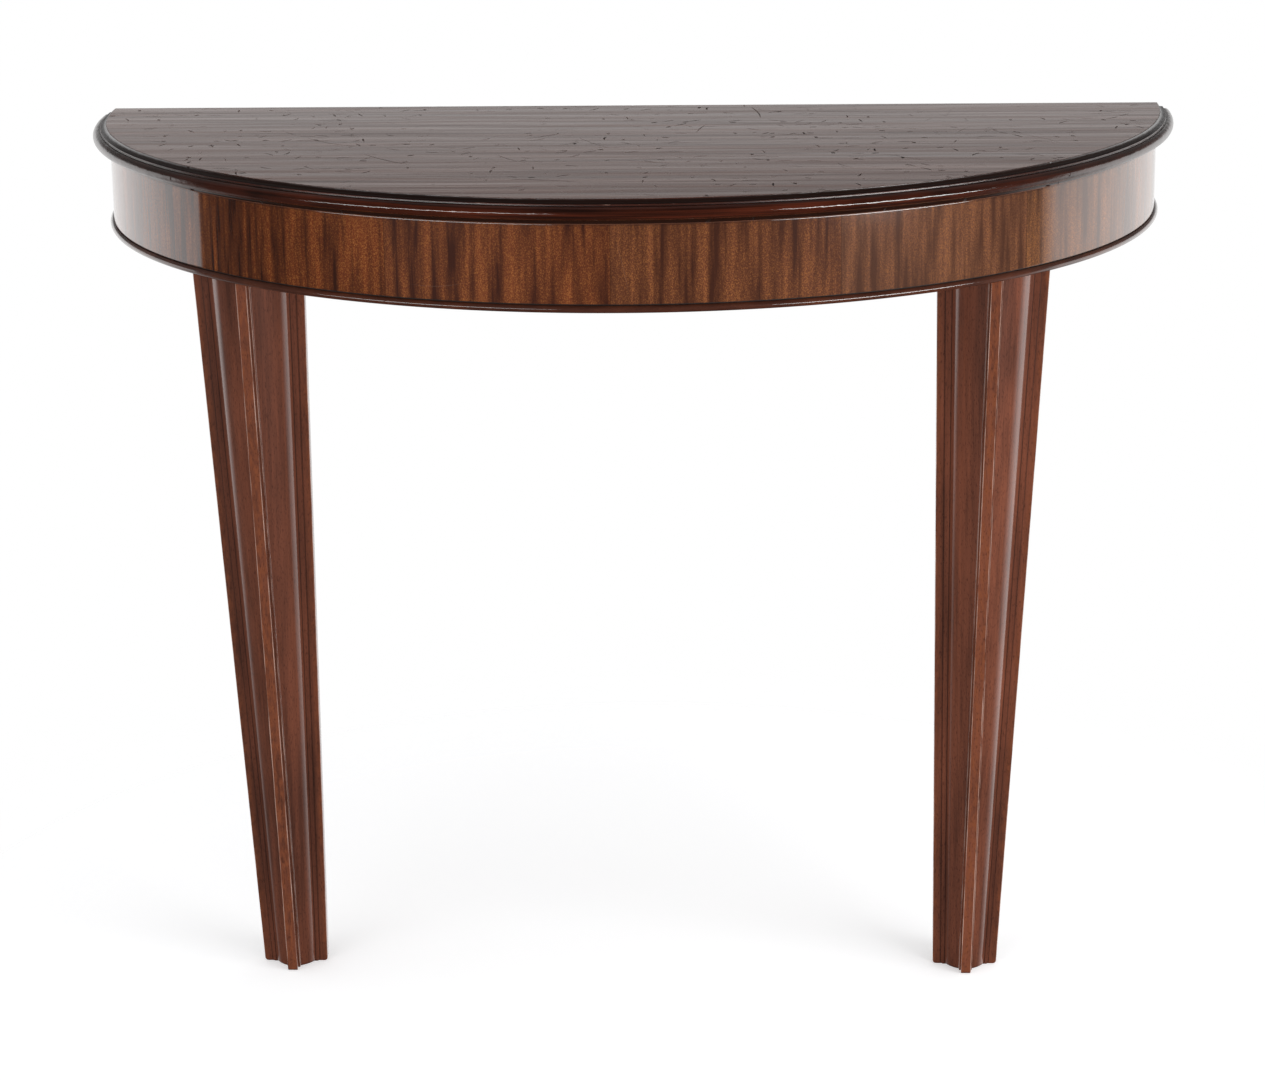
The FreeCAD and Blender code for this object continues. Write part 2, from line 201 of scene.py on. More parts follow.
def pattern(tree, place, lengths, seed, detail=2, roughness=0.5):
    """Noise drawn out to these lengths in millimetres along X, Y and Z; each seed gives other noise."""
    per_metre = [1 / (length * MM) for length in lengths]
    shift = (seed * 7.31, seed * 3.77, seed + 0.5)
    drawn = add(tree, "ShaderNodeVectorMath",
                {0: place, 1: per_metre, 2: shift}, operation="MULTIPLY_ADD")
    noise = add(tree, "ShaderNodeTexNoise", {"Vector": drawn.outputs[0], "Scale": 1, "Detail": detail,
                                             "Roughness": roughness})
    return noise.outputs[0]


def new_material(name):
    material = bpy.data.materials.new(name)
    material.use_nodes = True
    material.node_tree.nodes.clear()
    return material, material.node_tree


def finish_material(tree, **sockets):
    """Ends a material in one shader, with these sockets linked or set."""
    named = {name.replace("_", " "): value for name, value in sockets.items()}
    shader = add(tree, "ShaderNodeBsdfPrincipled", named)
    add(tree, "ShaderNodeOutputMaterial", {"Surface": shader.outputs[0]})


def marks(tree, place, cell, length, width, seed):
    """One short mark, bowed and tapered to its ends, to each cell of a random net; sizes in millimetres."""
    shift = (seed * 0.37, seed * 0.71, 0)
    net_place = add(tree, "ShaderNodeVectorMath", {0: place, 1: [1 / (cell * MM)] * 3, 2: shift},
                    operation="MULTIPLY_ADD").outputs[0]
    net = add(tree, "ShaderNodeTexVoronoi",
              {"Vector": net_place, "Scale": 1}, voronoi_dimensions="2D").outputs
    offset = add(tree, "ShaderNodeVectorMath", {0: net_place, 1: net["Position"]},
                 operation="SUBTRACT").outputs[0]
    chance = add(tree, "ShaderNodeSeparateColor", {0: net["Color"]}).outputs
    angle = add(tree, "ShaderNodeMath", {0: chance[0], 1: 2 * math.pi}, operation="MULTIPLY").outputs[0]
    turned = add(tree, "ShaderNodeVectorRotate",
                 {"Vector": offset, "Angle": angle}, rotation_type="Z_AXIS")
    axes = add(tree, "ShaderNodeSeparateXYZ", {0: turned.outputs[0]}).outputs
    bow = add(tree, "ShaderNodeMapRange", {0: chance[2], 3: -MARK_BOW, 4: MARK_BOW}).outputs[0]
    squared = add(tree, "ShaderNodeMath", {0: axes["X"], 1: axes["X"]}, operation="MULTIPLY").outputs[0]
    bowed = add(tree, "ShaderNodeMath",
                {0: squared, 1: bow, 2: axes["Y"]}, operation="MULTIPLY_ADD").outputs[0]
    spot = add(tree, "ShaderNodeCombineXYZ", {"X": axes["X"], "Y": bowed}).outputs[0]
    shares = (2 * cell / length, 2 * cell / width, 0)
    share = add(tree, "ShaderNodeVectorMath", {0: spot, 1: shares}, operation="MULTIPLY").outputs[0]
    reach = add(tree, "ShaderNodeVectorMath", {0: share}, operation="LENGTH").outputs["Value"]
    mark = add(tree, "ShaderNodeMapRange", {0: reach, 1: 0.5, 2: 1, 3: 1, 4: 0}).outputs[0]
    depth = add(tree, "ShaderNodeMapRange", {0: chance[1], 1: 0.3, 2: 1}).outputs[0]
    return add(tree, "ShaderNodeMath", {0: mark, 1: depth}, operation="MULTIPLY").outputs[0]


def round_frieze(tree, place):
    """A place as distance along the curve of the frieze, distance from the middle, and level."""
    axes = add(tree, "ShaderNodeSeparateXYZ", {0: place}).outputs
    depth = add(tree, "ShaderNodeMath", {0: axes["Y"], 1: WALL}, operation="SUBTRACT").outputs[0]
    turn = add(tree, "ShaderNodeMath", {0: depth, 1: axes["X"]}, operation="ARCTAN2").outputs[0]
    along = add(tree, "ShaderNodeMath", {0: turn, 1: FRIEZE_RADIUS * MM}, operation="MULTIPLY").outputs[0]
    from_middle = add(tree, "ShaderNodeCombineXYZ", {"X": axes["X"], "Y": depth}).outputs[0]
    radius = add(tree, "ShaderNodeVectorMath", {0: from_middle}, operation="LENGTH").outputs["Value"]
    return along, radius, axes["Z"]


MOULDING_SEED = 90


def moulding_wood(tree, figure, rubbed_way, aside):
    """The moulding was rubbed lengthwise; towards the ends it is darkened with painted shade."""
    rubbing = pattern(tree, rubbed_way, (150, 2.4, 2.4), MOULDING_SEED)
    tone = add(tree, "ShaderNodeMath", {0: figure, 1: rubbing}, operation="ADD").outputs[0]
    shade = add(tree, "ShaderNodeMapRange", {0: tone, 1: 0.75, 2: 1.25}).outputs[0]
    wood = add(tree, "ShaderNodeMix", {0: shade, 6: linear(MOULDING_DARK), 7: linear(MOULDING_LIGHT)},
               data_type="RGBA").outputs[2]
    # Painted shade darkens the moulding towards the ends
    end_shade = add(tree, "ShaderNodeMapRange", {0: aside, 1: 0.2, 2: 0.4, 4: 0.7}).outputs[0]
    return add(tree, "ShaderNodeMix", {0: end_shade, 6: wood, 7: linear(END_SHADE_DARK)},
               data_type="RGBA").outputs[2]


def top_marks(tree, place, seed):
    """Scratches, dents and open pores, all drawn wider than real ones so that they show at a low angle."""
    long_scratch = marks(tree, place, 120, 100, 1.8, seed)
    short_scratch = marks(tree, place, 25, 20, 2.2, seed + 3)
    dent = marks(tree, place, 30, 9, 4, seed + 5)
    pores = pattern(tree, place, (46, 5, 5), seed + 2, detail=2, roughness=0.6)
    open_pore = add(tree, "ShaderNodeMapRange", {0: pores, 1: 0.66, 2: 0.76}).outputs[0]
    marked = add(tree, "ShaderNodeMath",
                 {0: long_scratch, 1: short_scratch}, operation="MAXIMUM").outputs[0]
    marked = add(tree, "ShaderNodeMath", {0: marked, 1: dent}, operation="MAXIMUM").outputs[0]
    marked = add(tree, "ShaderNodeMath", {0: open_pore, 1: 0.6, 2: marked},
                 operation="MULTIPLY_ADD").outputs[0]
    crowding = pattern(tree, place, (130, 110, 110), seed + 6)
    busy = add(tree, "ShaderNodeMapRange", {0: crowding, 1: 0.4, 2: 0.62, 3: 0.15, 4: 1}).outputs[0]
    return add(tree, "ShaderNodeMath", {0: marked, 1: busy}, operation="MULTIPLY").outputs[0]


def moulding_roughness(tree, radius, aside):
    """The nosing is brightest in the middle, where it is rubbed most; the hollows beside it stay dull."""
    nosing = add(tree, "ShaderNodeMapRange", {0: aside, 1: 0.2, 2: 0.45, 3: 0.08, 4: 0.2}).outputs[0]
    nosing_circle = (OUTER_RADIUS - NOSING_RADIUS) * MM
    hollow = add(tree, "ShaderNodeMapRange",
                 {0: radius, 1: nosing_circle + 0.5 * MM, 2: nosing_circle - 0.5 * MM}).outputs[0]
    return add(tree, "ShaderNodeMix", {0: hollow, 2: nosing, 3: 0.3}).outputs[0]


def unpolished(tree, axes):
    """The underside and the sawn back edge of the top, which were never polished."""
    under = add(tree, "ShaderNodeMapRange",
                {0: axes["Z"], 1: TOP_LOW.z + 0.3 * MM, 2: TOP_LOW.z + 0.1 * MM}).outputs[0]
    behind = add(tree, "ShaderNodeMapRange",
                 {0: axes["Y"], 1: WALL - 0.3 * MM, 2: WALL - 0.1 * MM}).outputs[0]
    return add(tree, "ShaderNodeMath", {0: under, 1: behind}, operation="MAXIMUM").outputs[0]


def top_mahogany(name, seed):
    """French-polished mahogany: a dark mirror at low angles, streaked by the grain and marked by use."""
    material, tree = new_material(name)
    place = add(tree, "ShaderNodeNewGeometry").outputs["Position"]
    axes = add(tree, "ShaderNodeSeparateXYZ", {0: place}).outputs
    aside = add(tree, "ShaderNodeMath", {0: axes["X"]}, operation="ABSOLUTE").outputs[0]
    along, radius, level = round_frieze(tree, place)
    rubbed_way = add(tree, "ShaderNodeCombineXYZ", {"X": along, "Y": radius, "Z": level}).outputs[0]
    figure = pattern(tree, place, (380, 34, 34), seed, detail=3)
    streaks = pattern(tree, place, (300, 10, 10), seed + 1, detail=4, roughness=0.6)
    shade = add(tree, "ShaderNodeMapRange", {0: streaks, 1: 0.3, 2: 0.7}).outputs[0]
    flat_wood = add(tree, "ShaderNodeMix", {0: shade, 6: linear(FLAT_DARK), 7: linear(FLAT_LIGHT)},
                    data_type="RGBA").outputs[2]

    # The moulding lies outside the flat, and only the flat is scratched
    edge = FLAT_RADIUS * MM
    moulded = add(tree, "ShaderNodeMapRange", {0: radius, 1: edge - MM, 2: edge}).outputs[0]
    flat = add(tree, "ShaderNodeMath", {0: 1, 1: moulded}, operation="SUBTRACT").outputs[0]
    moulded_wood = moulding_wood(tree, figure, rubbed_way, aside)
    wood = add(tree, "ShaderNodeMix", {0: moulded, 6: flat_wood, 7: moulded_wood},
               data_type="RGBA").outputs[2]
    marked = top_marks(tree, place, seed)
    marked = add(tree, "ShaderNodeMath", {0: marked, 1: flat}, operation="MULTIPLY").outputs[0]
    wood = add(tree, "ShaderNodeMix", {0: marked, 6: wood, 7: linear(SCRATCH_DARK)},
               data_type="RGBA").outputs[2]

    # Edges are knocked pale here and there, pale partly as a painted highlight, and painted shade lies dark
    # in the hollows
    worn_and_highlight = add(tree, "ShaderNodeAttribute", attribute_name="worn_and_highlight").outputs["Fac"]
    painted_shade = add(tree, "ShaderNodeAttribute", attribute_name="painted_shade").outputs["Fac"]
    knocks = pattern(tree, place, (16, 16, 3), seed + 7, detail=4, roughness=0.7)
    nicks = add(tree, "ShaderNodeMapRange", {0: knocks, 1: 0.6, 2: 0.7}).outputs[0]
    rubbed_and_highlight = add(tree, "ShaderNodeMath", {0: worn_and_highlight, 1: nicks}, operation="MULTIPLY").outputs[0]
    wood = add(tree, "ShaderNodeMix",
               {0: rubbed_and_highlight, 6: wood, 7: linear(NICK_PALE_AND_HIGHLIGHT)}, data_type="RGBA").outputs[2]
    wood = add(tree, "ShaderNodeMix",
               {0: painted_shade, 6: wood, 7: linear(TOP_SHADE_DARK)}, data_type="RGBA").outputs[2]
    raw = unpolished(tree, axes)
    raw_wood = add(tree, "ShaderNodeMix", {0: shade, 6: linear(RAW_DARK), 7: linear(RAW_LIGHT)},
                   data_type="RGBA").outputs[2]
    wood = add(tree, "ShaderNodeMix", {0: raw, 6: wood, 7: raw_wood}, data_type="RGBA").outputs[2]

    # Heights in millimetres: the grain shows through the polish, and the moulding is a little uneven
    height = add(tree, "ShaderNodeMath", {0: figure, 1: 0.3}, operation="MULTIPLY").outputs[0]
    height = add(tree, "ShaderNodeMath", {0: streaks, 1: 0.03, 2: height},
                 operation="MULTIPLY_ADD").outputs[0]
    bump = add(tree, "ShaderNodeBump", {"Strength": flat, "Height": height, "Distance": MM}).outputs[0]
    ripple = pattern(tree, rubbed_way, (12, 4, 4), MOULDING_SEED + 1)
    bump = add(tree, "ShaderNodeBump",
               {"Strength": moulded, "Height": ripple, "Distance": 0.3 * MM, "Normal": bump}).outputs[0]
    flat_roughness = add(tree, "ShaderNodeMapRange", {0: marked, 3: 0.13, 4: 0.85}).outputs[0]
    moulded_roughness = moulding_roughness(tree, radius, aside)
    roughness = add(tree, "ShaderNodeMix",
                    {0: moulded, 2: flat_roughness, 3: moulded_roughness}).outputs[0]
    roughness = add(tree, "ShaderNodeMix", {0: raw, 2: roughness, 3: 0.75}).outputs[0]
    finish_material(tree, Base_Color=wood, IOR=WOOD_IOR, Roughness=roughness, Normal=bump)
    return material


def ribbon_veneer(name, seed, start, dark, light):
    """Quarter-sawn veneer: interlocked grain gives upright ribbons of light and dark, with golden fleck."""
    material, tree = new_material(name)
    place = add(tree, "ShaderNodeNewGeometry").outputs["Position"]
    along, _, level = round_frieze(tree, place)
    flat = add(tree, "ShaderNodeCombineXYZ", {"X": along, "Y": level}).outputs[0]
    wander = pattern(tree, flat, (60, 110, 50), seed + 4)
    strayed = add(tree, "ShaderNodeMath",
                  {0: wander, 1: 5 * MM, 2: along}, operation="MULTIPLY_ADD").outputs[0]
    grown = add(tree, "ShaderNodeCombineXYZ", {"X": strayed, "Y": level}).outputs[0]
    ribbons = pattern(tree, grown, (12, 120, 50), seed)
    stripes = pattern(tree, grown, (3.6, 80, 50), seed + 1)

    # Fleck and pores are drawn wider than real ones, so that they show
    fleck = pattern(tree, flat, (0.6, 0.95, 50), seed + 2, detail=0)
    tone = add(tree, "ShaderNodeMath", {0: ribbons, 1: 0.68}, operation="MULTIPLY").outputs[0]
    tone = add(tree, "ShaderNodeMath",
               {0: stripes, 1: 0.32, 2: tone}, operation="MULTIPLY_ADD").outputs[0]
    shade = add(tree, "ShaderNodeMapRange", {0: tone, 1: 0.38, 2: 0.65}).outputs[0]
    wood = add(tree, "ShaderNodeMix",
               {0: shade, 6: linear(dark), 7: linear(light)}, data_type="RGBA").outputs[2]
    golden = add(tree, "ShaderNodeMapRange", {0: fleck, 1: 0.5, 2: 0.8, 4: 0.6}).outputs[0]
    glint = add(tree, "ShaderNodeMath", {0: golden, 1: shade}, operation="MULTIPLY").outputs[0]
    wood = add(tree, "ShaderNodeMix",
               {0: glint, 6: wood, 7: linear(FLECK_GOLD)}, data_type="RGBA").outputs[2]
    pore = add(tree, "ShaderNodeMapRange", {0: fleck, 1: 0.45, 2: 0.2, 4: 0.4}).outputs[0]
    wood = add(tree, "ShaderNodeMix",
               {0: pore, 6: wood, 7: linear(PORE_DARK)}, data_type="RGBA").outputs[2]

    # Each leaf begins with a dark glue line
    from_joint = add(tree, "ShaderNodeMath",
                     {0: along, 1: math.radians(start - 360) * FRIEZE_RADIUS * MM},
                     operation="SUBTRACT").outputs[0]
    joint = add(tree, "ShaderNodeMapRange",
                {0: from_joint, 1: 0.3 * MM, 2: 0.9 * MM, 3: 0.6, 4: 0}).outputs[0]
    wood = add(tree, "ShaderNodeMix",
               {0: joint, 6: wood, 7: linear(JOINT_DARK)}, data_type="RGBA").outputs[2]

    # Pale scratches, and painted shade under the top
    scratch = marks(tree, flat, 120, 60, 0.6, seed)
    scratched = add(tree, "ShaderNodeMath", {0: scratch, 1: 0.22}, operation="MULTIPLY").outputs[0]
    wood = add(tree, "ShaderNodeMix",
               {0: scratched, 6: wood, 7: linear(SCRATCH_PALE)}, data_type="RGBA").outputs[2]
    # Painted shade along the top of the veneer, under the moulding
    shade_under_top = add(tree, "ShaderNodeMapRange",
                    {0: level, 1: VENEER_HIGH.z - 2 * MM, 2: VENEER_HIGH.z, 4: 0.5}).outputs[0]
    wood = add(tree, "ShaderNodeMix",
               {0: shade_under_top, 6: wood, 7: linear(RIM_SHADE_DARK)}, data_type="RGBA").outputs[2]
    roughness = add(tree, "ShaderNodeMapRange", {0: fleck, 3: 0.35, 4: 0.5}).outputs[0]
    bump = add(tree, "ShaderNodeBump",
               {"Height": fleck, "Strength": 0.2, "Distance": 0.03 * MM}).outputs[0]
    finish_material(tree, Base_Color=wood, IOR=WOOD_IOR, Roughness=roughness, Specular_IOR_Level=0.03,
                    Normal=bump, Coat_Weight=1, Coat_Roughness=VENEER_POLISH)
    return material


def moulded_mahogany(name, lengths, seed, dark, light):
    """Mahogany worked to mouldings: rubbed pale on its edges, partly as a painted highlight, and darkened
    with painted shade in its hollows.
    """
    material, tree = new_material(name)
    place = add(tree, "ShaderNodeNewGeometry").outputs["Position"]
    grain = pattern(tree, place, lengths, seed, detail=4, roughness=0.65)
    mottle = pattern(tree, place, (45, 45, 150), seed + 3, detail=2)
    tone = add(tree, "ShaderNodeMath", {0: mottle, 1: grain}, operation="ADD").outputs[0]
    shade = add(tree, "ShaderNodeMapRange", {0: tone, 1: 0.65, 2: 1.35}).outputs[0]
    wood = add(tree, "ShaderNodeMix",
               {0: shade, 6: linear(dark), 7: linear(light)}, data_type="RGBA").outputs[2]

    # The ribs are rubbed bare in spots
    rib = add(tree, "ShaderNodeAttribute", attribute_name="rib").outputs["Fac"]
    rubs = pattern(tree, place, (3, 3, 11), seed + 5, detail=3)
    spots = add(tree, "ShaderNodeMapRange", {0: rubs, 1: 0.4, 2: 0.68, 3: 0.1, 4: 0.95}).outputs[0]
    bared = add(tree, "ShaderNodeMath", {0: rib, 1: spots}, operation="MULTIPLY").outputs[0]
    wood = add(tree, "ShaderNodeMix",
               {0: bared, 6: wood, 7: linear(RIB_BARE)}, data_type="RGBA").outputs[2]

    # Pores are at least 1.1 mm across, coarser than real ones, so that they show
    pore_lengths = [max(length / 30, 1.1) for length in lengths]
    pores = pattern(tree, place, pore_lengths, seed + 1)
    pitted = add(tree, "ShaderNodeMapRange", {0: pores, 1: 0.54, 2: 0.76, 4: 0.6}).outputs[0]
    wood = add(tree, "ShaderNodeMix",
               {0: pitted, 6: wood, 7: linear(PORE_DARK)}, data_type="RGBA").outputs[2]
    # Edges rubbed pale, partly as a painted highlight
    worn_and_highlight = add(tree, "ShaderNodeAttribute", attribute_name="worn_and_highlight").outputs["Fac"]
    painted_shade = add(tree, "ShaderNodeAttribute", attribute_name="painted_shade").outputs["Fac"]
    patches = pattern(tree, place, (12, 12, 46), seed + 2, detail=4, roughness=0.6)
    patchy = add(tree, "ShaderNodeMapRange", {0: patches, 1: 0.38, 2: 0.62, 4: 0.8}).outputs[0]
    rubbed_and_highlight = add(tree, "ShaderNodeMath", {0: worn_and_highlight, 1: patchy}, operation="MULTIPLY").outputs[0]
    wood = add(tree, "ShaderNodeMix",
               {0: rubbed_and_highlight, 6: wood, 7: linear(EDGE_PALE_AND_HIGHLIGHT)}, data_type="RGBA").outputs[2]
    # Painted shade in the hollows and inner corners
    hollow_shade_amount = add(tree, "ShaderNodeMath", {0: painted_shade, 1: 0.7}, operation="MULTIPLY").outputs[0]
    wood = add(tree, "ShaderNodeMix",
               {0: hollow_shade_amount, 6: wood, 7: linear(LEG_SHADE_DARK)}, data_type="RGBA").outputs[2]
    bump = add(tree, "ShaderNodeBump",
               {"Height": pores, "Strength": 0.3, "Distance": 0.06 * MM}).outputs[0]
    finish_material(tree, Base_Color=wood, IOR=WOOD_IOR, Roughness=0.45, Specular_IOR_Level=0.08,
                    Normal=bump, Coat_Weight=1, Coat_Roughness=LEG_POLISH)
    return material


def bare_softwood(name, lengths, seed, curved=False):
    """Unpolished pine gone brown with age: broad dull grain that scatters light."""
    material, tree = new_material(name)
    place = add(tree, "ShaderNodeNewGeometry").outputs["Position"]
    along, radius, level = round_frieze(tree, place)
    grown = place
    if curved:
        grown = add(tree, "ShaderNodeCombineXYZ", {"X": along, "Y": radius, "Z": level}).outputs[0]
    rings = pattern(tree, grown, lengths, seed, detail=3)
    grime = pattern(tree, place, (60, 60, 60), seed + 1, detail=3)
    shade = add(tree, "ShaderNodeMapRange", {0: rings, 1: 0.35, 2: 0.65}).outputs[0]
    wood = add(tree, "ShaderNodeMix", {0: shade, 6: linear(PINE_DARK), 7: linear(PINE_LIGHT)},
               data_type="RGBA").outputs[2]
    soiled = add(tree, "ShaderNodeMapRange", {0: grime, 1: 0.45, 2: 0.8, 4: 0.7}).outputs[0]
    wood = add(tree, "ShaderNodeMix",
               {0: soiled, 6: wood, 7: linear(PINE_SOILED)}, data_type="RGBA").outputs[2]

    # Painted shade: the outer face of the core, just behind the veneer, is darkened
    core_face_shade = add(tree, "ShaderNodeMapRange",
                  {0: radius, 1: (CORE_RADIUS - 1) * MM, 2: (CORE_RADIUS - 0.5) * MM}).outputs[0]
    wood = add(tree, "ShaderNodeMix",
               {0: core_face_shade, 6: wood, 7: linear(RIM_SHADE_DARK)}, data_type="RGBA").outputs[2]
    bump = add(tree, "ShaderNodeBump", {"Height": rings, "Strength": 0.3, "Distance": 0.2 * MM})
    finish_material(tree, Base_Color=wood, IOR=WOOD_IOR, Roughness=0.75, Normal=bump.outputs[0])
    return material


def dull_steel():
    """Old steel: grey metal with a soft shine, gone brown and rough where it has rusted."""
    material, tree = new_material("dull_steel")
    place = add(tree, "ShaderNodeNewGeometry").outputs["Position"]
    spots = pattern(tree, place, (2.5, 2.5, 2.5), 201, detail=3)
    rust = add(tree, "ShaderNodeMapRange", {0: spots, 1: 0.5, 2: 0.65}).outputs[0]
    metal = add(tree, "ShaderNodeMix", {0: rust, 6: linear(STEEL_GREY), 7: linear(STEEL_RUST)},
                data_type="RGBA").outputs[2]
    roughness = add(tree, "ShaderNodeMapRange", {0: rust, 3: 0.35, 4: 0.7}).outputs[0]
    finish_material(tree, Base_Color=metal, Metallic=1, Roughness=roughness)
    return material


def arc(start, end, radius, turn, steps):
    """Points of the lesser arc after start, turning left (1) or right (-1)."""
    chord = end - start
    rise = math.sqrt(max(radius ** 2 - chord.length_squared / 4, 0))
    left = Vector((-chord.y, chord.x)).normalized()
    centre = (start + end) / 2 + left * rise * turn
    sweep = 2 * math.asin(min(chord.length / 2 / radius, 1)) * turn
    spoke = start - centre
    return [centre + Matrix.Rotation(sweep * step / steps, 2) @ spoke for step in range(1, steps + 1)]


def outline(corners, steps=ARC_STEPS):
    """Points of a closed outline.

    A corner is (x, y), reached by a line, or (x, y, radius, turn), reached by an arc.
    """
    ends = [Vector(corner[:2]) for corner in corners]
    points = []
    for index, corner in enumerate(corners):
        if len(corner) == 2:
            points.append(ends[index])
        else:
            points.extend(arc(ends[index - 1], ends[index], corner[2], corner[3], steps))
    return points


def eased(points, ease):
    """Rounds the sharp corners; each point becomes (point, worn, dirty).

    Outer corners are worn, pale partly as a painted highlight; inner corners and hollow curves get painted
    shade.
    """
    area = sum(a.x * b.y - b.x * a.y for a, b in zip(points, points[1:] + points[:1]))
    band = max(WORN_BAND, ease + WORN_FADE)
    made = []
    for index, here in enumerate(points):
        back = points[index - 1] - here
        ahead = points[(index + 1) % len(points)] - here
        bend = math.remainder(math.atan2(ahead.y, ahead.x) - math.atan2(-back.y, -back.x), 2 * math.pi)
        if abs(bend) < SHARP_BEND:
            # Hollow curves get painted shade
            hollow = HOLLOW_SHADE_DEPTH if bend * area < -STRAIGHT else 0.0
            made.append((here, 0.0, hollow))
            continue
        worn_and_highlight = 1.0 if bend * area > 0 else 0.0
        band_back = here + back.normalized() * min(band, back.length * BAND_SHARE)
        cut_back = here + back.normalized() * min(ease, back.length * EASE_SHARE)
        cut_ahead = here + ahead.normalized() * min(ease, ahead.length * EASE_SHARE)
        band_ahead = here + ahead.normalized() * min(band, ahead.length * BAND_SHARE)
        middle = (cut_back + cut_ahead + here * 2) / 4
        made.append((band_back, 0.0, 0.0))
        made.extend((point, worn_and_highlight, 1 - worn_and_highlight) for point in (cut_back, middle, cut_ahead))
        made.append((band_ahead, 0.0, 0.0))
    return made


def joined_rings(rings):
    """A solid skin through closed rings of (place, worn, dirty, rib), capped at both ends."""
    mesh = bmesh.new()
    layers = [mesh.verts.layers.float.new(name) for name in ("worn_and_highlight", "painted_shade", "rib")]
    rows = []
    for ring in rings:
        row = []
        for place, *wear in ring:
            vertex = mesh.verts.new(place)
            for layer, amount in zip(layers, wear):
                vertex[layer] = amount
            row.append(vertex)
        rows.append(row)
    for lower, upper in zip(rows, rows[1:]):
        for index in range(len(lower)):
            mesh.faces.new((lower[index - 1], lower[index], upper[index], upper[index - 1]))
    mesh.faces.new(rows[0])
    mesh.faces.new(rows[-1])
    bmesh.ops.remove_doubles(mesh, verts=mesh.verts, dist=WELD * MM)
    bmesh.ops.recalc_face_normals(mesh, faces=mesh.faces)
    return mesh


def round_place(radius, azimuth, level):
    """A place in the frame from a radius in millimetres, an azimuth in degrees and a level in metres."""
    angle = math.radians(azimuth)
    return Vector((radius * MM * math.cos(angle), WALL + radius * MM * math.sin(angle), level))


def swept(section, start, end, base):
    """Carries a section of (point, worn, dirty) round the half circle, standing on a level."""
    steps = max(2, round((end - start) / SWEEP_STEP))
    rings = []
    for step in range(steps + 1):
        azimuth = start + (end - start) * step / steps
        rings.append([(round_place(point.x, azimuth, base + point.y * MM), worn_and_highlight, painted_shade)
                      for point, worn_and_highlight, painted_shade in section])
    return joined_rings(rings)


def merge(mesh, other):
    """Adds another skin to a mesh."""
    data = bpy.data.meshes.new("joined")
    other.to_mesh(data)
    other.free()
    mesh.from_mesh(data)
    bpy.data.meshes.remove(data)


def show(name, mesh, material, node=None):
    """Turns a finished skin into a piece.

    Most pieces stand for a node of the frame, which they hide.
    """
    data = bpy.data.meshes.new(name)
    mesh.to_mesh(data)
    mesh.free()
    data.shade_smooth()
    data.set_sharp_from_angle(angle=SHARP_BEND * 2)
    data.materials.append(material)
    piece = bpy.data.objects.new(name, data)
    bpy.context.scene.collection.objects.link(piece)
    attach(piece, "root")
    if node:
        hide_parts(node)


def top_section():
    """Half section of the top: flat, cove, fillet, nosing, neck and cavetto."""
    height = (TOP_HIGH.z - TOP_LOW.z) / MM
    nosing_circle = OUTER_RADIUS - NOSING_RADIUS
    fillet_radius = nosing_circle - QUIRK_WIDTH
    fillet_level = height - COVE_RADIUS
    quirk_level = fillet_level - FILLET_DROP
    nosing_level = quirk_level - NOSING_RADIUS
    neck_level = nosing_level - NOSING_RADIUS
    neck_radius = nosing_circle - NECK_INSET
    return outline([
        (0, 0),
        (0, height),
        (FLAT_RADIUS, height),
        (FLAT_RADIUS + COVE_RADIUS, fillet_level, COVE_RADIUS, 1),
        (fillet_radius, fillet_level),
        (fillet_radius, quirk_level),
        (nosing_circle, quirk_level),
        (OUTER_RADIUS, nosing_level, NOSING_RADIUS, -1),
        (nosing_circle, neck_level, NOSING_RADIUS, -1),
        (neck_radius, neck_level),
        (neck_radius, CAVETTO_RADIUS),
        (neck_radius - CAVETTO_RADIUS, 0, CAVETTO_RADIUS, 1),
    ])


def sawn(mesh, place, normal):
    """Saws a board through at a plane and keeps the part behind it, with a closed face there."""
    parts = mesh.verts[:] + mesh.edges[:] + mesh.faces[:]
    cut = bmesh.ops.bisect_plane(mesh, geom=parts, plane_co=place, plane_no=normal, clear_outer=True)
    rim = [item for item in cut["geom_cut"] if isinstance(item, bmesh.types.BMEdge)]
    bmesh.ops.edgenet_fill(mesh, edges=rim)


def make_top():
    """Three boards, each sawn from the whole half round along its joints."""
    section = eased(top_section(), TOP_EASE)
    for seed, node in enumerate(("top_board_back", "top_board_middle", "top_board_front"), start=1):
        low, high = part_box(node)
        mesh = swept(section, LEFT_END, RIGHT_END, TOP_LOW.z)
        if high.y < WALL - MM:
            sawn(mesh, (0, high.y, 0), (0, 1, 0))
        if low.y > WALL - OUTER_RADIUS * MM + MM:
            sawn(mesh, (0, low.y, 0), (0, -1, 0))
        show(f"polished_{node}", mesh, top_mahogany(f"{node}_mahogany", seed * 10), node)


def make_veneer():
    """Leaves of veneer side by side round the frieze."""
    height = (VENEER_HIGH.z - VENEER_LOW.z) / MM
    inner = FRIEZE_RADIUS - VENEER_THICKNESS
    section = eased(outline([(inner, 0), (FRIEZE_RADIUS, 0), (FRIEZE_RADIUS, height), (inner, height)]),
                    VENEER_EASE)
    leaf_turn = (RIGHT_END - LEFT_END) / LEAVES
    for leaf in range(LEAVES):
        start = LEFT_END + leaf * leaf_turn
        node = f"frieze_veneer_{leaf + 1}"
        mesh = swept(section, start, start + leaf_turn, VENEER_LOW.z)
        tint = leaf % len(LEAF_LIGHTS)
        material = ribbon_veneer(f"{node}_ribbon", leaf + 1, start, LEAF_DARKS[tint], LEAF_LIGHTS[tint])
        show(f"polished_{node}", mesh, material, node)


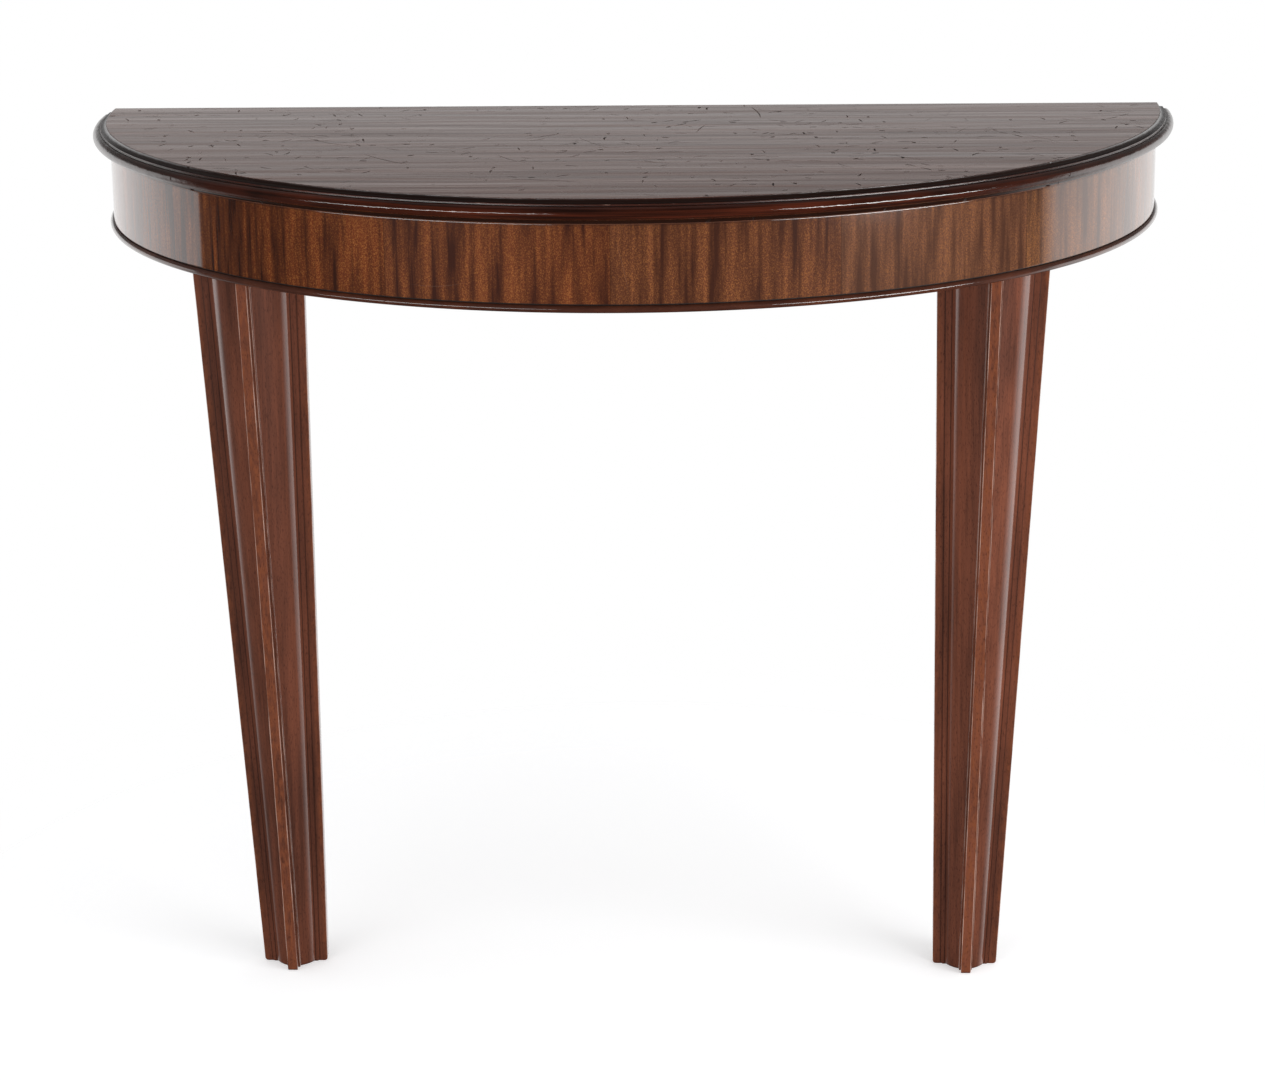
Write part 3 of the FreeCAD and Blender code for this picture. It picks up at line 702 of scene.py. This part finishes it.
def make_bead():
    """Half-round strip along the lower edge of the frieze."""
    tip = BEAD_HIGH.x / MM
    nose = (BEAD_HIGH.z - BEAD_LOW.z) / MM / 2
    back = FRIEZE_RADIUS - VENEER_THICKNESS - BEAD_SEAT
    section = eased(outline([(back, 0), (back, nose * 2), (tip - nose, nose * 2), (tip, nose, nose, -1),
                             (tip - nose, 0, nose, -1)]), BEAD_EASE)
    mesh = swept(section, LEFT_END, RIGHT_END, BEAD_LOW.z)
    material = moulded_mahogany("bead_mahogany", (30, 30, 6), 70, BEAD_DARK, BEAD_LIGHT)
    show("polished_frieze_bead", mesh, material, "frieze_bead")


def leg_section(reach, step_depth):
    """Square on its diagonals: a flat rib on each corner, a stepped hollow, and a slightly round face."""
    half_rib = RIB_WIDTH / 2
    half_step = half_rib + RIB_LEDGE
    ledge = reach - RIB_DEPTH
    root = ledge - step_depth
    face_radius = (root - half_step) / math.sqrt(2) / math.sin(math.radians(FACE_TURN))
    arm = [(root, -half_step), (ledge, -half_step), (ledge, -half_rib), (reach, -half_rib),
           (reach, half_rib), (ledge, half_rib), (ledge, half_step), (root, half_step)]
    corners = []
    for quarter in range(4):
        turned = [Matrix.Rotation(quarter * math.pi / 2, 2) @ Vector(point) for point in arm]
        corners.append((*turned[0], face_radius, 1))
        corners.extend(tuple(point) for point in turned[1:])
    return [leg_marks(*spot, ledge) for spot in eased(outline(corners, FACE_STEPS), LEG_EASE)]


def leg_marks(point, worn_and_highlight, painted_shade, ledge):
    """Adds the rib mark; painted shade lies dark on the ledges beside the left and right ribs."""
    sideways = abs(point.x) > abs(point.y)
    out = max(abs(point.x), abs(point.y))
    rib = float(out > ledge + WORN_BAND)
    if not sideways:
        return point, worn_and_highlight, 0.0, rib
    # Painted shade on the ledges beside the side ribs
    if abs(out - ledge) < WORN_BAND:
        return point, 0.0, LEDGE_SHADE_DEPTH, rib
    return point, worn_and_highlight, painted_shade, rib


def leg_rings(middle, azimuth, reach, head_level):
    """Rings of the tapering shaft from the eased foot up to the shoulder."""
    lean = round_place(LEG_LEAN, azimuth + 180, 0) - Vector((0, WALL, 0))
    head = leg_section(reach, HEAD_STEP)
    foot = leg_section(FOOT_REACH, FOOT_STEP)
    rows = []
    for angle in FOOT_ANGLES:
        rise = FOOT_ROUND * MM / head_level * (1 - math.sin(math.radians(angle)))
        pinch = 1 - FOOT_ROUND / FOOT_REACH * (1 - math.cos(math.radians(angle)))
        rows.append((rise, pinch))
    rows += [(row / LEG_ROWS, 1) for row in range(1, LEG_ROWS + 1)]
    rings = []
    for rise, pinch in rows:
        centre = middle + lean * (1 - rise) + Vector((0, 0, head_level * rise))
        ring = []
        for (low, *wear), (high, *_) in zip(foot, head):
            point = low.lerp(high, rise) * pinch * MM
            ring.append((centre + Vector((point.x, point.y, 0)), *wear))
        rings.append(ring)
    return rings


def add_post(mesh, azimuth, low, high):
    """The square post that carries a leg up inside the frieze."""
    half = POST_WIDTH / 2
    inner = CORE_RADIUS - CORE_THICKNESS
    reach = math.sqrt(inner ** 2 - half ** 2)
    back = inner - POST_DEPTH
    plan = outline([(back, half), (back, -half), (reach, -half), (reach, half, inner, 1)])
    turn = Matrix.Rotation(math.radians(azimuth), 2)
    rings = []
    for level in (low, high):
        spots = [turn @ point * MM for point in plan]
        rings.append([(Vector((spot.x, WALL + spot.y, level)), 0.0, 0.0) for spot in spots])
    merge(mesh, joined_rings(rings))


def make_legs():
    """Two legs, each a moulded shaft with its post standing on the shoulder."""
    for side, azimuth in LEG_AZIMUTHS.items():
        node = f"leg_{side}"
        low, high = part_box(node)
        middle = Vector(((low.x + high.x) / 2, (low.y + high.y) / 2, 0))
        mesh = joined_rings(leg_rings(middle, azimuth, (high.x - low.x) / 2 / MM, BEAD_LOW.z))
        add_post(mesh, azimuth, BEAD_LOW.z, high.z)
        material = moulded_mahogany(f"{node}_mahogany", (4, 4, 110), azimuth, LEG_DARKS[side],
                                    LEG_LIGHTS[side])
        show(f"polished_{node}", mesh, material, node)


def add_screw(mesh, place, axis):
    """A slotted head along an axis: a thin disc with a raised half on each side of the slot."""
    gap = SCREW_SLOT / 2
    reach = math.sqrt(SCREW_RADIUS ** 2 - gap ** 2)
    half = outline([(gap, -reach), (gap, reach, SCREW_RADIUS, 1)], FACE_STEPS)
    other_half = [-point for point in half]
    flat = ((-SCREW_SUNK, 1), (SCREW_BASE, 1))
    domed = ((0, 1), (SCREW_SIDE, 1), (SCREW_RISE, SCREW_CROWN))
    turn = axis.to_track_quat("Z", "Y").to_matrix()
    for plan, levels in ((half + other_half, flat), (half, domed), (other_half, domed)):
        rings = []
        for level, size in levels:
            spots = [Vector((point.x * size, point.y * size, level)) for point in plan]
            rings.append([(place + turn @ spot * MM, 0.0, 0.0) for spot in spots])
        merge(mesh, joined_rings(rings))


def make_screws():
    """One screw up through each top block, and two through each leg post into the frieze."""
    steel = dull_steel()
    top_screws = bmesh.new()
    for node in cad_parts:
        if node.startswith("top_block"):
            low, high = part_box(node)
            middle = (low + high) / 2
            add_screw(top_screws, Vector((middle.x, middle.y, low.z)), Vector((0, 0, -1)))
    show("top_screws", top_screws, steel)
    leg_screws = bmesh.new()
    for side, azimuth in LEG_AZIMUTHS.items():
        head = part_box(f"leg_{side}")[1].z
        for share in LEG_SCREW_SHARES:
            level = BEAD_LOW.z + (head - BEAD_LOW.z) * share
            place = round_place(CORE_RADIUS - CORE_THICKNESS - POST_DEPTH, azimuth, level)
            inward = round_place(1, azimuth + 180, 0) - Vector((0, WALL, 0))
            add_screw(leg_screws, place, inward)
    show("leg_screws", leg_screws, steel)


def paint_hidden_wood():
    """Bare softwood for the core, rails and blocks, with the grain along each piece."""
    courses = {}
    for seed, course in enumerate(("lower", "middle", "upper"), start=104):
        courses[course] = bare_softwood(f"softwood_{course}_course", (220, 5, 5), seed, curved=True)
    along_x = bare_softwood("softwood_lengthwise", (300, 5, 5), 101)
    along_y = bare_softwood("softwood_fore_and_aft", (5, 300, 5), 102)
    upright = bare_softwood("softwood_upright", (5, 5, 200), 103)
    for name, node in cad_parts.items():
        if node.hide_render:
            continue
        material = along_x
        if name.startswith("frieze_brick"):
            material = courses[name.split("_")[2]]
        elif name.startswith("top_block_frieze"):
            material = courses["upper"]
        elif name == "bearer":
            material = along_y
        elif "_block_" in name and not name.startswith("top_block"):
            material = upright
        node.data.materials.clear()
        node.data.materials.append(material)


# Camera as fitted to the photograph
CAMERA_PLACE = (0.1354, -3.0343, 1.2811)
CAMERA_YAW = 2.447
CAMERA_TILT = 16.094
CAMERA_ROLL = -0.71
CAMERA_LENS = 95.05
SENSOR_WIDTH = 36


def set_camera():
    data = bpy.data.cameras.new("camera")
    data.lens = CAMERA_LENS
    data.sensor_width = SENSOR_WIDTH
    data.sensor_fit = "HORIZONTAL"
    camera = bpy.data.objects.new("camera", data)
    turn = Matrix.Rotation(math.radians(CAMERA_YAW), 4, "Z")
    tilt = Matrix.Rotation(math.radians(90 - CAMERA_TILT), 4, "X")
    roll = Matrix.Rotation(math.radians(CAMERA_ROLL), 4, "Z")
    camera.matrix_world = Matrix.Translation(CAMERA_PLACE) @ turn @ tilt @ roll
    bpy.context.scene.collection.objects.link(camera)
    bpy.context.scene.camera = camera


# A round sheet of paper, in metres: whole up to FLOOR_CLEAR from the middle, and gone at FLOOR_FADE
FLOOR_RADIUS = 1.2
FLOOR_SIDES = 64
FLOOR_CLEAR = 0.42
FLOOR_FADE = 0.85
# How much white the camera sees added to the lit paper
FLOOR_LIFT = 0.38


def paper_floor():
    """White paper: plain and matt; it keeps the shadows of the feet and fades into the white surround."""
    material, tree = new_material("paper_floor")
    geometry = add(tree, "ShaderNodeNewGeometry").outputs
    place = geometry["Position"]
    distance = add(tree, "ShaderNodeVectorMath", {0: place}, operation="LENGTH").outputs["Value"]
    fade = add(tree, "ShaderNodeMapRange", {0: distance, 1: FLOOR_CLEAR, 2: FLOOR_FADE},
               interpolation_type="SMOOTHSTEP").outputs[0]

    # Fibres are drawn as a soft mottle, far coarser than real ones
    fibre = pattern(tree, place, (3, 3, 3), 1)
    paper = add(tree, "ShaderNodeMix", {0: fibre, 6: linear(PAPER_DARK), 7: linear(PAPER_LIGHT)},
                data_type="RGBA").outputs[2]
    matt = add(tree, "ShaderNodeBsdfDiffuse", {"Color": paper})
    paths = add(tree, "ShaderNodeLightPath").outputs
    lift = add(tree, "ShaderNodeMath",
               {0: paths["Is Camera Ray"], 1: FLOOR_LIFT}, operation="MULTIPLY").outputs[0]
    white = add(tree, "ShaderNodeEmission", {"Color": linear(WHITE), "Strength": lift})
    near = add(tree, "ShaderNodeAddShader", {0: matt.outputs[0], 1: white.outputs[0]})
    clear = add(tree, "ShaderNodeBsdfTransparent")

    # Nothing of it is mirrored in the polish, and it is clear from below
    gone = add(tree, "ShaderNodeMath",
               {0: fade, 1: paths["Is Glossy Ray"]}, operation="MAXIMUM").outputs[0]
    gone = add(tree, "ShaderNodeMath",
               {0: gone, 1: geometry["Backfacing"]}, operation="MAXIMUM").outputs[0]
    both = add(tree, "ShaderNodeMixShader", {0: gone, 1: near.outputs[0], 2: clear.outputs[0]})
    add(tree, "ShaderNodeOutputMaterial", {"Surface": both.outputs[0]})
    return material


def set_floor():
    mesh = bmesh.new()
    bmesh.ops.create_circle(mesh, cap_ends=True, segments=FLOOR_SIDES, radius=FLOOR_RADIUS)
    data = bpy.data.meshes.new("floor")
    mesh.to_mesh(data)
    mesh.free()
    data.materials.append(paper_floor())
    floor = bpy.data.objects.new("floor", data)
    bpy.context.scene.collection.objects.link(floor)


# The bright sheet behind the table, as the polish mirrors it.
# Its left and right limits are given by level directions square to them. The limits blur where the sheet
# runs down to the floor: from SPREAD_FROM to SPREAD_TO each pair goes from its first value to its second.
SHEET_LEFT = (0.245, 0.969, 0)
SHEET_RIGHT = (-0.198, 0.98, 0)
SPREAD_FROM = -0.2
SPREAD_TO = -0.4
LEFT_EDGE = -0.005
LEFT_BLUR = (0.005, 0.5)
RIGHT_EDGE = (-0.05, -0.25)
RIGHT_BLUR = (0.05, 0.18)

# The sheet is brighter to both sides, dim above SHEET_TOP, and fades out on the floor
SHEET_BRIGHT = 1.0
SHEET_BRIGHT_LEFT = 1.65
SHEET_BRIGHT_RIGHT = 2.1
SHEET_MIDDLE = 0.3
SHEET_LEFT_END = -0.8
SHEET_RIGHT_END = 0.9
SHEET_DIM = 0.085
SHEET_LOW = 0.097
SHEET_TOP = 0.19
FLOOR_DIM = -0.75
FLOOR_BRIGHT = -0.4
ROOM_DIM = 0.04
ROOM_SOFT = 0.62


def spread(tree, rise, limits):
    """A value that goes from the first limit to the second as a direction falls towards the floor."""
    first, second = limits
    return add(tree, "ShaderNodeMapRange",
               {0: rise, 1: SPREAD_FROM, 2: SPREAD_TO, 3: first, 4: second}).outputs[0]


def mirrored_sheet(tree):
    """What the polish mirrors: the bright sheet behind the table, and a dim room before it."""
    direction = add(tree, "ShaderNodeTexCoord").outputs["Generated"]
    aside, _, rise = add(tree, "ShaderNodeSeparateXYZ", {0: direction}).outputs
    from_left = add(tree, "ShaderNodeVectorMath", {0: direction, 1: SHEET_LEFT}, operation="DOT_PRODUCT")
    from_right = add(tree, "ShaderNodeVectorMath",
                     {0: direction, 1: SHEET_RIGHT}, operation="DOT_PRODUCT")
    left = add(tree, "ShaderNodeMapRange",
               {0: from_left.outputs["Value"], 1: LEFT_EDGE, 2: spread(tree, rise, LEFT_BLUR)}).outputs[0]
    right = add(tree, "ShaderNodeMapRange",
                {0: from_right.outputs["Value"], 1: spread(tree, rise, RIGHT_EDGE),
                 2: spread(tree, rise, RIGHT_BLUR)}).outputs[0]
    behind = add(tree, "ShaderNodeMath", {0: left, 1: right}, operation="MULTIPLY").outputs[0]
    bright = add(tree, "ShaderNodeMapRange",
                 {0: aside, 1: -SHEET_MIDDLE, 2: SHEET_LEFT_END, 3: SHEET_BRIGHT,
                  4: SHEET_BRIGHT_LEFT}).outputs[0]
    bright = add(tree, "ShaderNodeMapRange",
                 {0: aside, 1: SHEET_MIDDLE, 2: SHEET_RIGHT_END, 3: bright,
                  4: SHEET_BRIGHT_RIGHT}).outputs[0]
    glow = add(tree, "ShaderNodeMapRange",
               {0: rise, 1: SHEET_LOW, 2: SHEET_TOP, 3: bright, 4: SHEET_DIM}).outputs[0]
    far_floor = add(tree, "ShaderNodeMapRange", {0: rise, 1: FLOOR_DIM, 2: FLOOR_BRIGHT}).outputs[0]
    behind = add(tree, "ShaderNodeMath", {0: behind, 1: far_floor}, operation="MULTIPLY").outputs[0]
    return add(tree, "ShaderNodeMath", {0: behind, 1: glow, 2: ROOM_DIM},
               operation="MULTIPLY_ADD").outputs[0]


def set_surround():
    """White to the camera, soft to dull wood, and the bright sheet to polished wood."""
    world = bpy.data.worlds.new("surround")
    world.use_nodes = True
    tree = world.node_tree
    tree.nodes.clear()
    bpy.context.scene.world = world
    mirrored = mirrored_sheet(tree)
    paths = add(tree, "ShaderNodeLightPath").outputs
    strength = add(tree, "ShaderNodeMix",
                   {0: paths["Is Glossy Ray"], 2: ROOM_SOFT, 3: mirrored}).outputs[0]
    strength = add(tree, "ShaderNodeMix", {0: paths["Is Camera Ray"], 2: strength, 3: 1.0}).outputs[0]
    white = add(tree, "ShaderNodeBackground", {"Color": linear(WHITE), "Strength": strength})
    add(tree, "ShaderNodeOutputWorld", {"Surface": white.outputs[0]})


LAMP_AIM = Vector((0, 0, 0.6))


def set_lamp(name, direction, distance, width, height, power):
    """A wide soft lamp aimed at the frieze, with its sizes in metres and its power in watts."""
    data = bpy.data.lights.new(name, "AREA")
    data.shape = "ELLIPSE"
    data.size = width
    data.size_y = height
    data.energy = power
    lamp = bpy.data.objects.new(name, data)
    away = Vector(direction).normalized()
    lamp.location = LAMP_AIM + away * distance
    lamp.rotation_euler = away.to_track_quat("Z", "Y").to_euler()
    bpy.context.scene.collection.objects.link(lamp)


make_top()
make_veneer()
make_bead()
make_legs()
make_screws()
paint_hidden_wood()
set_camera()
set_floor()
set_surround()

# Both lamps lie below the level of the top, so that its flat never mirrors them
set_lamp("left_softbox", (-0.61, -0.73, -0.015), distance=3.0, width=3.0, height=0.4, power=36)
set_lamp("right_softbox", (0.76, -0.57, -0.015), distance=2.4, width=2.0, height=0.36, power=42)
bpy.context.scene.view_settings.view_transform = "Standard"
